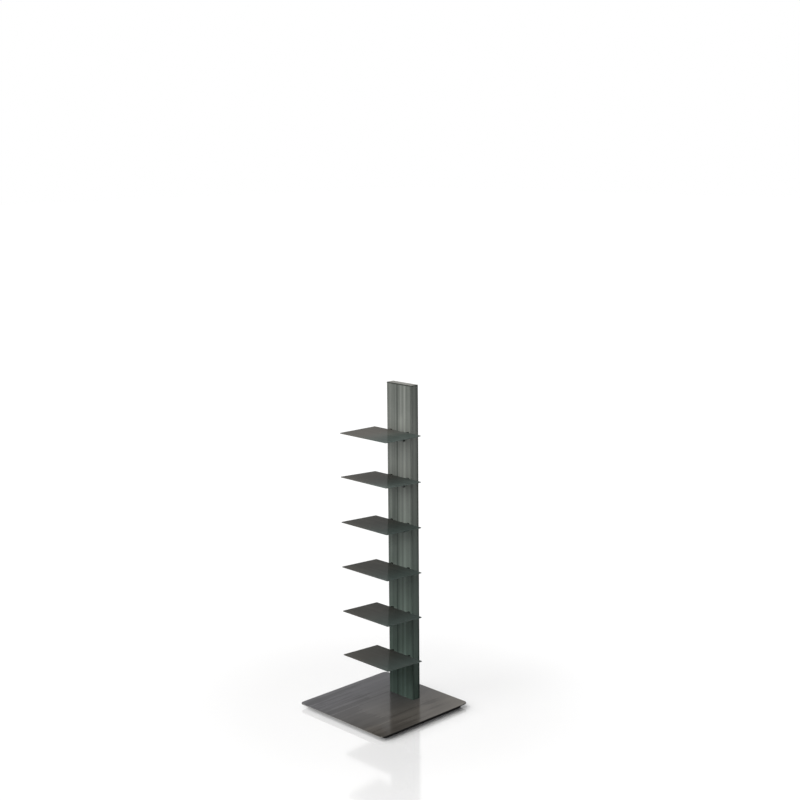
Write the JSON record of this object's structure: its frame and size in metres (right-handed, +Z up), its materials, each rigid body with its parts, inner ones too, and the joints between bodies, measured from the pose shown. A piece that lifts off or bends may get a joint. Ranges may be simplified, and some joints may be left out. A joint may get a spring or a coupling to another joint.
{
  "type": "spine bookshelf",
  "caption": "Free-standing column bookshelf: thin square base plate, flat hollow column near its rear edge and short cantilevered steel shelves that hold books in stacks.",
  "frame": {"origin": "on the floor, under the middle of the base plate", "axes": "+Z up; -Y is the front, where the shelves stand out from the column; +X to the right, seen from the front"},
  "size_m": [0.35, 0.35, 0.9549],
  "materials": {
    "base": "dark burnished steel, brushed across, clear gloss lacquer",
    "column": "dark burnished steel with vertical streaks, clear gloss lacquer",
    "shelf": "dark burnished steel, even, clear gloss lacquer",
    "bracket": "dark grey lacquer, satin",
    "ballast": "black powder coat, matt",
    "glide": "black moulded nylon",
    "fastener": "black zinc plate",
    "inner": "plain mill steel"
  },
  "bodies": {
    "stand": {"base_plate": "base", "ballast_plate": "ballast", "ballast_screw_front_left": "fastener", "ballast_screw_front_right": "fastener", "ballast_screw_rear_left": "fastener", "ballast_screw_rear_right": "fastener", "foot_bolt_1": "fastener", "foot_bolt_2": "fastener", "foot_bolt_3": "fastener", "column_shell": "column", "column_back_cover": "column", "column_cap": "column", "column_foot_block": "inner", "column_bar_1": "inner", "column_bar_2": "inner", "column_bar_3": "inner", "cover_screw_1_left": "fastener", "cover_screw_1_right": "fastener", "cover_screw_2_left": "fastener", "cover_screw_2_right": "fastener", "cover_screw_3_left": "fastener", "cover_screw_3_right": "fastener", "cover_screw_4_left": "fastener", "cover_screw_4_right": "fastener", "shelf_1": "shelf", "shelf_bracket_1": "bracket", "shelf_screw_1_left": "fastener", "shelf_screw_1_right": "fastener", "shelf_2": "shelf", "shelf_bracket_2": "bracket", "shelf_screw_2_left": "fastener", "shelf_screw_2_right": "fastener", "shelf_3": "shelf", "shelf_bracket_3": "bracket", "shelf_screw_3_left": "fastener", "shelf_screw_3_right": "fastener", "shelf_4": "shelf", "shelf_bracket_4": "bracket", "shelf_screw_4_left": "fastener", "shelf_screw_4_right": "fastener", "shelf_5": "shelf", "shelf_bracket_5": "bracket", "shelf_screw_5_left": "fastener", "shelf_screw_5_right": "fastener", "shelf_6": "shelf", "shelf_bracket_6": "bracket", "shelf_screw_6_left": "fastener", "shelf_screw_6_right": "fastener"},
    "glide_front_left": {"levelling_glide_front_left": "glide"},
    "glide_front_right": {"levelling_glide_front_right": "glide"},
    "glide_rear_left": {"levelling_glide_rear_left": "glide"},
    "glide_rear_right": {"levelling_glide_rear_right": "glide"}
  },
  "joints": [
    {"name": "glide_front_left_height", "type": "slide", "parent": "stand", "child": "glide_front_left", "axis": [0, 0, -1], "range_m": [0, 0.003]},
    {"name": "glide_front_right_height", "type": "slide", "parent": "stand", "child": "glide_front_right", "axis": [0, 0, -1], "range_m": [0, 0.003]},
    {"name": "glide_rear_left_height", "type": "slide", "parent": "stand", "child": "glide_rear_left", "axis": [0, 0, -1], "range_m": [0, 0.003]},
    {"name": "glide_rear_right_height", "type": "slide", "parent": "stand", "child": "glide_rear_right", "axis": [0, 0, -1], "range_m": [0, 0.003]}
  ]
}
